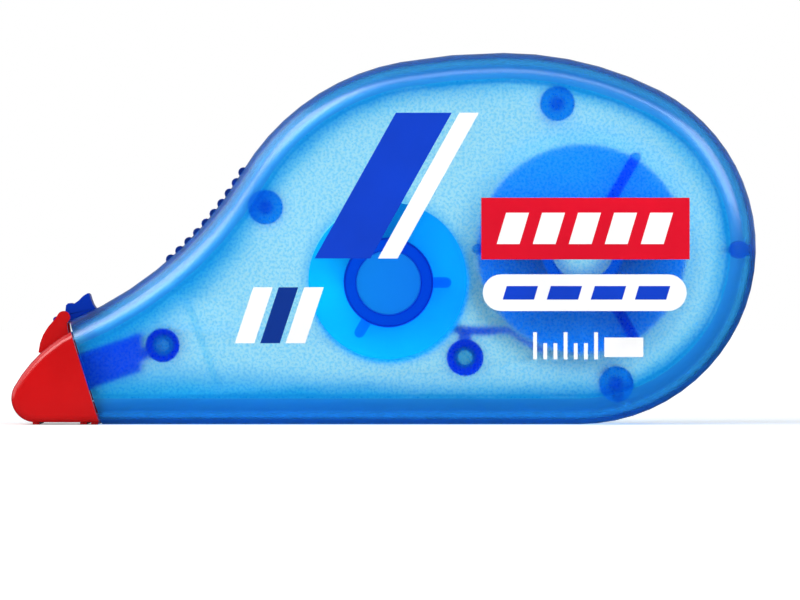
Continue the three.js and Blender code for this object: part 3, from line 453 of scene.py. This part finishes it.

# Frosted face: uneven grain, and painted shade beside the crease and the polished round,
# reaching further in towards nose and base
frost_blue = (0.36, 0.68, 0.92)
painted_shade_blue = (0.02, 0.55, 0.9)
crease_shade_blue = (0.01, 0.36, 0.74)
frost_level = add_range(shell, shell_grain["Grain"], 0.38, 0.58, 0.0, 1.0)
frost_tint = add_colour_mix(shell, frost_level, frost_blue, white)
inset_map = shell.nodes.new("ShaderNodeUVMap")
inset_map.uv_map = "inset"
inset_axes = add_node(shell, "ShaderNodeSeparateXYZ", {"Vector": inset_map.outputs["UV"]})
inset = add_math(shell, "MULTIPLY", inset_axes["X"], map_span)
nose_reach = add_range(shell, shell_axes["X"], 6 * mm, -26 * mm, 0.0, 3.6)
base_reach = add_range(shell, shell_axes["Z"], 12 * mm, 5 * mm, 0.9, 2.4)
edge_reach = add_math(shell, "ADD", nose_reach, base_reach)
edge_clouds = add_range(shell, shell_grain["Clouds"], 0.3, 0.7, -0.5, 0.5)
clouded_inset = add_math(shell, "ADD", inset, edge_clouds)
past_crease = add_math(shell, "SUBTRACT", clouded_inset, rim_radius - 0.1)
edge_in = add_math(shell, "DIVIDE", past_crease, edge_reach)
crease_shade_fade = add_range(shell, edge_in, 0.0, 1.0, 0.0, 1.0, smooth=True)
# Painted shade also rings the polished round, fading out from its edge
window_out = add_math(shell, "SUBTRACT", from_window, window_radius)
round_shade_fade = add_range(shell, window_out, 0.0, 1.7, 0.25, 1.0, smooth=True)
round_shade_fade = add_math(shell, "MAXIMUM", round_shade_fade, on_back)
painted_shade_fade = add_math(shell, "MINIMUM", crease_shade_fade, round_shade_fade)
painted_shade_tint = add_colour_mix(shell, painted_shade_fade, painted_shade_blue, white)
frosted_tint = add_colour_mix(shell, 1.0, painted_shade_tint, frost_tint, blend="MULTIPLY")
# Painted shade: a dark line along the crease
crease_gap = add_math(
    shell, "ABSOLUTE", add_math(shell, "SUBTRACT", inset, rim_radius + 0.15)
)
crease_shade_line = add_range(shell, crease_gap, 0.0, 0.3, 0.75, 0.0, smooth=True)
edge_tint = add_colour_mix(shell, crease_shade_line, frosted_tint, crease_shade_blue)

# Smooth faces: painted shade makes the rim bluer, and a painted shade gradient deepens the
# polished round towards the tail side
rim_shade_blue = (0.2, 0.75, 0.92)
window_lit_blue = (0.15, 0.93, 1.0)
window_shaded_blue = (0.15, 0.52, 0.97)
off_face = within(shell_away, face_plane)
rim_mask = add_math(shell, "MULTIPLY", within(inset, rim_radius - 0.02), off_face)
rim_shade_tint = add_colour_mix(shell, rim_mask, white, rim_shade_blue)
# Painted shade across the polished round: lighter on the nose side, deeper on the tail side
window_shade_level = add_range(shell, shell_axes["X"], -7.0 * mm, 8.5 * mm, 0.0, 1.0)
window_shade_tint = add_colour_mix(shell, window_shade_level, window_lit_blue, window_shaded_blue)
in_window = add_math(shell, "SUBTRACT", 1.0, no_window)
in_skin = add_math(shell, "GREATER_THAN", shell_away, shell_face - 0.5 * mm)
window_mask = add_math(shell, "MULTIPLY", in_window, in_skin)
plain_tint = add_colour_mix(shell, window_mask, rim_shade_tint, window_shade_tint)
face_tint = add_colour_mix(shell, frost_mask, plain_tint, edge_tint)

# Inside the walls: deep blue for the depth of the plastic, with painted shade deepening the
# take-up tube, the plug and the supply ribs, and painted light paling the throat ribs
tube_reach = 5.3
tube_side = 5.22
plug_side = 3.85
supply_reach = 12.2
throat_middle = applicator_axis + Vector((4.67, 0.0, 0.29)) * mm
throat_across = add_math(shell, "COMPARE", shell_axes["X"], throat_middle.x, 2.6 * mm)
throat_up = add_math(shell, "COMPARE", shell_axes["Z"], throat_middle.z, 6.0 * mm)
boss_blue = (0.08, 0.36, 0.87)
tube_shade_blue = (0.03, 0.057, 0.68)
plug_shade_blue = (0.03, 0.2, 0.82)
supply_shade_blue = (0.03, 0.11, 0.72)
throat_painted_light = (0.88, 0.97, 1.0)
deep_tint = boss_blue
for mask, tint in (
    (within(from_take_up, tube_reach), tube_shade_blue),
    (within(from_take_up, plug_side), plug_shade_blue),
    (within(from_supply, supply_reach), supply_shade_blue),
    (add_math(shell, "MULTIPLY", throat_across, throat_up), throat_painted_light),
):
    deep_tint = add_colour_mix(shell, mask, deep_tint, tint)
inside_walls = add_range(
    shell, shell_away, wall_inside - 0.08 * mm, wall_inside - 0.02 * mm, 1.0, 0.0, smooth=True
)

# Painted shade in the narrow gaps round plug and tube, and painted light in the posts' bores
gap_reach = 0.13
plug_gap = add_math(shell, "COMPARE", from_take_up, plug_side, gap_reach)
tube_gap = add_math(shell, "COMPARE", from_take_up, tube_side, gap_reach)
either_gap = add_math(shell, "MAXIMUM", plug_gap, tube_gap)
gap_shade_mask = add_math(shell, "MULTIPLY", either_gap, below_skin)
deep_mask = add_math(shell, "MAXIMUM", inside_walls, gap_shade_mask)
shell_tint = add_colour_mix(shell, deep_mask, face_tint, deep_tint)
# Painted light seen through the posts' bores, paler than the deep tint
for post, bore, tint in (
    (guide_axis, 0.85, (0.4, 0.85, 1.0)),
    (applicator_axis, 0.76, (0.15, 0.5, 0.97)),
):
    bore_light_mask = add_math(shell, "MULTIPLY", within(distance_from(post), bore), below_skin)
    shell_tint = add_colour_mix(shell, bore_light_mask, shell_tint, tint)
feed(shell, shell_tint, shell_glass.inputs["Base Color"])
feed(shell, rim_mask, shell_glass.inputs["Coat Weight"])
shell_glass.inputs["Coat Roughness"].default_value = 0.2
shell_glass.inputs["Coat IOR"].default_value = 1.5

# Light passes the shell nearly unshadowed, and its thickness soaks up red
shell_path = add_node(shell, "ShaderNodeLightPath", {})
shell_open = add_node(shell, "ShaderNodeBsdfTransparent", {"Color": (0.93, 0.96, 0.98)})
shell_look = add_node(
    shell,
    "ShaderNodeMixShader",
    {"Fac": shell_path["Is Shadow Ray"], 1: shell_glass.outputs[0], 2: shell_open[0]},
)
shell_depth = add_node(
    shell, "ShaderNodeVolumeAbsorption", {"Color": (0.03, 0.79, 0.99), "Density": 360.0}
)
shell_out = shell.nodes["Material Output"]
feed(shell, shell_look[0], shell_out.inputs["Surface"])
feed(shell, shell_depth[0], shell_out.inputs["Volume"])


def soften(mesh, width, sharp_angle=42, smooth_angle=40):
    """Round a moulding's sharp edges, so that they catch a thin line of light."""
    work = bmesh.new()
    work.from_mesh(mesh)
    bmesh.ops.dissolve_limit(
        work, angle_limit=math.radians(0.5), verts=work.verts, edges=work.edges
    )
    limit = math.radians(sharp_angle)
    sharp = [
        e for e in work.edges if len(e.link_faces) == 2 and e.calc_face_angle(0) > limit
    ]
    bmesh.ops.bevel(
        work,
        geom=sharp,
        offset=width,
        offset_type="OFFSET",
        segments=2,
        profile=0.6,
        affect="EDGES",
        clamp_overlap=True,
    )
    bmesh.ops.triangulate(work, faces=[f for f in work.faces if len(f.verts) > 4])
    limit = math.radians(smooth_angle)
    for face in work.faces:
        face.smooth = True
    for edge in work.edges:
        edge.smooth = len(edge.link_faces) == 2 and edge.calc_face_angle(0) < limit
    work.to_mesh(mesh)
    work.free()


def finish_node(node, body, paint, angle=32, soft=0.0, follows=None):
    """A CAD node's finished piece; angle in degrees, soft in metres."""
    piece = smoothed_copy(node, node + "_part", angle)
    if soft:
        soften(piece.data, soft)
    piece.data.materials.append(paint)
    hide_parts(node)
    if follows:
        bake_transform(piece)
    else:
        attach(piece, body)
    return piece


back_shell = finish_node("back_shell", "housing", shell_paint)
add_inset_map(back_shell.data)


# Drive gear: natural acetal, milky and a little waxy. Its hub turns on the
# front shell's tube, and three holes lighten its disc.
def moulded_plastic(name, colour, roughness, grain=0.12 * mm, depth=0.12):
    """An opaque moulded plastic: flow clouds in its colour, grain in its gloss."""
    paint = bpy.data.materials.new(name)
    paint.use_nodes = True
    tree = paint.node_tree
    shader = tree.nodes["Principled BSDF"]
    skin = add_grain(tree, grain, depth)
    clouds = add_range(tree, skin["Clouds"], 0.3, 0.7, 0.0, 1.0)
    darker = tuple(0.9 * part for part in colour)
    lighter = tuple(min(1, 1.06 * part) for part in colour)
    feed(tree, add_colour_mix(tree, clouds, darker, lighter), shader.inputs["Base Color"])
    gloss = add_range(tree, skin["Grain"], 0.3, 0.7, 0.85 * roughness, 1.2 * roughness)
    feed(tree, gloss, shader.inputs["Roughness"])
    feed(tree, skin["Normal"], shader.inputs["Normal"])
    shader.inputs["IOR"].default_value = 1.46
    shine = tuple(0.55 + 0.45 * part / max(colour) for part in colour)
    shader.inputs["Specular Tint"].default_value = (*shine, 1)
    return paint


edge_softness = 0.06 * mm
pale_acetal = moulded_plastic("natural acetal", (0.80, 0.86, 0.90), 0.38)
milky_acetal = moulded_plastic("milky natural acetal", (0.88, 0.95, 0.98), 0.42)
milky_shader = milky_acetal.node_tree.nodes["Principled BSDF"]
milky_shader.inputs["Transmission Weight"].default_value = 0.6
finish_node("drive_gear", "drive", milky_acetal, soft=edge_softness)


# Clutch ring: a black rubber ring with a dull skin, pinched between the gear's
# hub and the supply spool, so that the spool can slip on the gear.
rubber_black = moulded_plastic("black rubber", (0.016, 0.016, 0.018), 0.8, depth=0.3)
finish_node("clutch_ring", "drive", rubber_black)


# Supply spool: bright blue plastic, a core with a wide front flange. A raised
# ring at the flange's middle rubs on the front shell's ribs.
reel_blue = moulded_plastic("bright blue plastic", (0.0, 0.25, 0.88), 0.3)
finish_node("supply_spool", "supply_reel", reel_blue)


# Tape roll: white correction film on its backing strip, in about 160 turns.
# Their edges show as fine rings on the roll's side, drawn about four times as
# coarse as they are.
turns_group = bpy.data.node_groups.new("wound turns", "ShaderNodeTree")
add_sockets(
    turns_group, "INPUT", (("Vector", "Vector"), ("Centre", "Vector"), ("Turn", "Float"))
)
add_sockets(turns_group, "OUTPUT", (("Edge", "Float"),))
turns_in = add_node(turns_group, "NodeGroupInput", {})
turns_shift = add_vector_math(turns_group, "SUBTRACT", turns_in["Vector"], turns_in["Centre"])
turns_flat = add_vector_math(turns_group, "MULTIPLY", turns_shift, (1, 0, 1))
turns_away = add_vector_math(turns_group, "LENGTH", turns_flat)
turns_count = add_math(turns_group, "DIVIDE", turns_away, turns_in["Turn"])
turns_part = add_math(turns_group, "FRACT", turns_count)
turns_edge = add_math(turns_group, "PINGPONG", turns_part, 0.5)
add_node(turns_group, "NodeGroupOutput", {"Edge": turns_edge})


def add_turns(paint, centre, turn, dark):
    """Fine rings round a reel's axis: a darker seam and a step from turn to turn."""
    tree = paint.node_tree
    shader = tree.nodes["Principled BSDF"]
    place = add_node(tree, "ShaderNodeTexCoord", {})["Object"]
    rings = add_group(tree, turns_group, {"Vector": place, "Centre": centre, "Turn": turn})
    colour = shader.inputs["Base Color"].links[0].from_socket
    seam = add_range(tree, rings["Edge"], 0.0, 0.16, dark, 1.0)
    seamed = add_colour_mix(tree, 1.0, colour, seam, blend="MULTIPLY")
    feed(tree, seamed, shader.inputs["Base Color"])
    grain = shader.inputs["Normal"].links[0].from_socket
    steps = add_node(
        tree,
        "ShaderNodeBump",
        {"Distance": 0.03 * mm, "Strength": 0.35, "Height": rings["Edge"], "Normal": grain},
    )
    feed(tree, steps["Normal"], shader.inputs["Normal"])


film_white = moulded_plastic("white film", (0.86, 0.86, 0.84), 0.55)
film_wound = moulded_plastic("wound white film", (0.86, 0.86, 0.84), 0.5)
add_turns(film_wound, supply_axis, turn=0.12 * mm, dark=0.6)
finish_node("tape_roll", "supply_reel", film_wound)


# Take-up spool and its ratchet flange: the small natural gear's core winds the
# bare strip, and the bright blue flange pressed on its front is seen clearly
# behind the shell's polished round.
window_blue = moulded_plastic("clear blue plastic", (0.0, 0.56, 1.0), 0.3)
finish_node("take_up_spool", "take_up_reel", pale_acetal, soft=edge_softness)
finish_node("take_up_ratchet", "take_up_reel", window_blue)


# Used strip: the bare backing, wound on the small wheel's core. It looks pale
# blue where its turns lie on each other.
strip_pale = moulded_plastic("bare backing", (0.60, 0.76, 0.88), 0.4)
strip_wound = moulded_plastic("wound backing", (0.60, 0.76, 0.88), 0.35)
add_turns(strip_wound, take_up_axis, turn=0.1 * mm, dark=0.55)
finish_node("liner_roll", "take_up_reel", strip_wound)


# Guide roller and stop pawl: both turn on the guide post, the roller in
# natural acetal and the pawl moulded in the same blue as the arm.
arm_blue = moulded_plastic("mid blue plastic", (0.0, 0.05, 0.57), 0.3)
finish_node("guide_roller", "guide_roller", pale_acetal, soft=edge_softness)
finish_node("stop_pawl", "stop_pawl", arm_blue, soft=edge_softness)


# Applicator: blue moulding with a ring on its post, an arm between two cheeks
# and a thin blade that presses the tape down.
finish_node("applicator", "applicator_arm", arm_blue, soft=edge_softness)


# Strips: the tape runs from the roll under the roller to the blade, and the
# bare strip goes back over the arm's ring to the take-up. Both are baked in
# place, not attached to a body.
bend_start = (-26.1 * mm, 0.0, 9.3 * mm)
bend_end = (-31.5 * mm, 0.0, 6.9 * mm)
arm_reach = ("applicator_arm", bend_start, bend_end)
finish_node("tape_run", "housing", film_white, angle=50, follows=arm_reach)
finish_node("liner_run", "housing", strip_pale, angle=50, follows=arm_reach)


# Hinge bracket: dark blue moulding with the cap's barrel, its stop and a small
# pointed tab. Its tongue hooks under the shells in the top of the mouth.
deep_blue = moulded_plastic("dark blue plastic", (0.0, 0.028, 0.36), 0.22)
finish_node("hinge_bracket", "housing", deep_blue, soft=edge_softness)


# Front shell: the other half, in the same frosted plastic, with the bosses, the
# hollow axle tubes and the polished round over the take-up wheel.
front_shell = finish_node("front_shell", "housing", shell_paint)
add_inset_map(front_shell.data)


# Prints on the front face: thin ink films. A red panel with plain slanted bars,
# a white pill with dashes, a white scale, and straight blue and white stripes.
ink_back = -shell_face - 0.006 * mm
ink_front = -shell_face - 0.024 * mm
second_ink = 0.02 * mm


def ink(name, colour, roughness):
    return moulded_plastic(name, colour, roughness, grain=0.3 * mm, depth=0.05)


red_ink = ink("red ink", (0.72, 0.0, 0.018), 0.35)
white_ink = ink("white ink", (0.95, 0.95, 0.95), 0.4)
blue_ink = ink("dark blue ink", (0.0, 0.045, 0.55), 0.35)
navy_ink = ink("navy ink", (0.0, 0.03, 0.26), 0.35)


def printed(name, outline, paint):
    """A flat ink film from a closed outline of (x, z) in millimetres, seen from the front."""
    work = bmesh.new()
    near = [work.verts.new((x * mm, ink_front, z * mm)) for x, z in outline]
    far = [work.verts.new((x * mm, ink_back, z * mm)) for x, z in outline]
    work.faces.new(near)
    work.faces.new(list(reversed(far)))
    for i in range(len(outline)):
        j = (i + 1) % len(outline)
        work.faces.new((near[j], near[i], far[i], far[j]))
    bmesh.ops.recalc_face_normals(work, faces=work.faces)
    mesh = bpy.data.meshes.new(name)
    work.to_mesh(mesh)
    work.free()
    mesh.materials.append(paint)
    film = bpy.data.objects.new(name, mesh)
    scene.collection.objects.link(film)
    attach(film, "housing")


def slanted(x, z, width, height, slant=0.0):
    return [(x, z), (x + width, z), (x + width + slant, z + height), (x + slant, z + height)]


def pill(x, z, width, height):
    radius = height / 2
    points = []
    for centre, first in ((x + width - radius, -90), (x + radius, 90)):
        for angle in range(first, first + 181, 15):
            across = radius * math.cos(math.radians(angle))
            up = radius * math.sin(math.radians(angle))
            points.append((centre + across, z + radius + up))
    return points


# Marks in a row: slanted bars side by side, with every so many of them taller
marks = bpy.data.node_groups.new("row of marks", "GeometryNodeTree")
add_sockets(
    marks,
    "INPUT",
    (
        ("Geometry", "Geometry"),
        ("Start", "Vector"),
        ("Count", "Int"),
        ("Pitch", "Float"),
        ("Size", "Vector"),
        ("Slant", "Float"),
        ("Tall Every", "Float"),
        ("Tall Scale", "Float"),
        ("Ink", "Material"),
    ),
)
add_sockets(marks, "OUTPUT", (("Geometry", "Geometry"),))
marks_in = add_node(marks, "NodeGroupInput", {})
marks_step = add_node(marks, "ShaderNodeCombineXYZ", {"X": marks_in["Pitch"]})[0]
marks_line = add_node(
    marks,
    "GeometryNodeMeshLine",
    {"Count": marks_in["Count"], "Start Location": marks_in["Start"], "Offset": marks_step},
)
marks_cube = add_node(marks, "GeometryNodeMeshCube", {"Size": marks_in["Size"]})
marks_half = add_vector_math(marks, "MULTIPLY", marks_in["Size"], (0.5, 0.0, 0.5))
marks_bar = add_node(
    marks, "GeometryNodeTransform", {"Geometry": marks_cube["Mesh"], "Translation": marks_half}
)
marks_index = add_node(marks, "GeometryNodeInputIndex", {})[0]
marks_turn = add_math(marks, "MODULO", marks_index, marks_in["Tall Every"])
marks_tall = add_math(marks, "LESS_THAN", marks_turn, 0.5)
marks_extra = add_math(marks, "SUBTRACT", marks_in["Tall Scale"], 1.0)
marks_taller = add_math(marks, "MULTIPLY", marks_tall, marks_extra)
marks_height = add_math(marks, "ADD", marks_taller, 1.0)
marks_scale = add_node(
    marks, "ShaderNodeCombineXYZ", {"X": 1.0, "Y": 1.0, "Z": marks_height}
)[0]
marks_copies = add_node(
    marks,
    "GeometryNodeInstanceOnPoints",
    {"Points": marks_line["Mesh"], "Instance": marks_bar["Geometry"], "Scale": marks_scale},
)
marks_real = add_node(
    marks, "GeometryNodeRealizeInstances", {"Geometry": marks_copies["Instances"]}
)
marks_place = add_node(marks, "GeometryNodeInputPosition", {})[0]
marks_rise = add_vector_math(marks, "SUBTRACT", marks_place, marks_in["Start"])
marks_axes = add_node(marks, "ShaderNodeSeparateXYZ", {"Vector": marks_rise})
marks_lean = add_math(marks, "MULTIPLY", marks_axes["Z"], marks_in["Slant"])
marks_shift = add_node(marks, "ShaderNodeCombineXYZ", {"X": marks_lean})[0]
marks_moved = add_node(
    marks,
    "GeometryNodeSetPosition",
    {"Geometry": marks_real["Geometry"], "Offset": marks_shift},
)
marks_inked = add_node(
    marks,
    "GeometryNodeSetMaterial",
    {"Geometry": marks_moved["Geometry"], "Material": marks_in["Ink"]},
)
add_node(marks, "NodeGroupOutput", {"Geometry": marks_inked["Geometry"]})


def row_of_marks(name, start, count, pitch, size, slant, paint, lift=0.0, every=1, tall=1.0):
    """A row of printed bars; start, pitch and size in millimetres, slant as a ratio."""
    film = bpy.data.objects.new(name, bpy.data.meshes.new(name))
    scene.collection.objects.link(film)
    spread = film.modifiers.new("marks", "NODES")
    spread.node_group = marks
    settings = {
        "Start": (start[0] * mm, (ink_front + ink_back) / 2 - lift, start[1] * mm),
        "Count": count,
        "Pitch": pitch * mm,
        "Size": (size[0] * mm, ink_back - ink_front, size[1] * mm),
        "Slant": slant,
        "Tall Every": float(every),
        "Tall Scale": tall,
        "Ink": paint,
    }
    for item in marks.interface.items_tree:
        if item.in_out == "INPUT" and item.name in settings:
            spread[item.identifier] = settings[item.name]
    graph = bpy.context.evaluated_depsgraph_get()
    baked = bpy.data.meshes.new_from_object(film.evaluated_get(graph))
    film.modifiers.remove(spread)
    film.data = baked
    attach(film, "housing")


printed("print_red_panel", slanted(x=11.47, z=19.49, width=24.6, height=7.28), red_ink)
row_of_marks(
    "print_panel_bars",
    start=(13.3, 21.3),
    count=5,
    pitch=4.25,
    size=(2.7, 3.7),
    slant=0.3,
    paint=white_ink,
    lift=second_ink,
)
printed("print_pill", pill(x=11.65, z=13.4, width=24.07, height=4.32), white_ink)
row_of_marks(
    "print_pill_dashes",
    start=(14.0, 14.75),
    count=4,
    pitch=5.2,
    size=(3.7, 1.6),
    slant=0.3,
    paint=blue_ink,
    lift=second_ink,
)
row_of_marks(
    "print_scale",
    start=(17.6, 7.7),
    count=7,
    pitch=1.2,
    size=(0.45, 1.9),
    slant=0.0,
    paint=white_ink,
    every=3,
    tall=1.68,
)
printed("print_scale_bar", slanted(x=26.0, z=7.97, width=4.6, height=2.3), white_ink)
stripe = {"z": 19.6, "height": 17.2, "slant": 9.6}
printed("print_stripe_blue", slanted(x=-8.2, width=6.6, **stripe), blue_ink)
printed("print_stripe_white", slanted(x=-0.7, width=2.3, **stripe), white_ink)
mark = {"pitch": 6.0, "size": (2.3, 6.6), "slant": 0.33}
row_of_marks("print_marks_white", start=(-17.6, 9.6), count=2, paint=white_ink, **mark)
row_of_marks("print_marks_navy", start=(-14.6, 9.6), count=1, paint=navy_ink, **mark)


# Flip-up cap: one opaque red moulding, glossy. Stubs on its two ears snap into
# the ends of the bracket's barrel, and small feet keep it level on the table.
cap_red = moulded_plastic("red cap plastic", (0.56, 0.001, 0.002), 0.22)
cap_shader = cap_red.node_tree.nodes["Principled BSDF"]
cap_shader.inputs["Coat Weight"].default_value = 0.6
cap_shader.inputs["Coat Roughness"].default_value = 0.22
finish_node("cap", "cap", cap_red, angle=35)
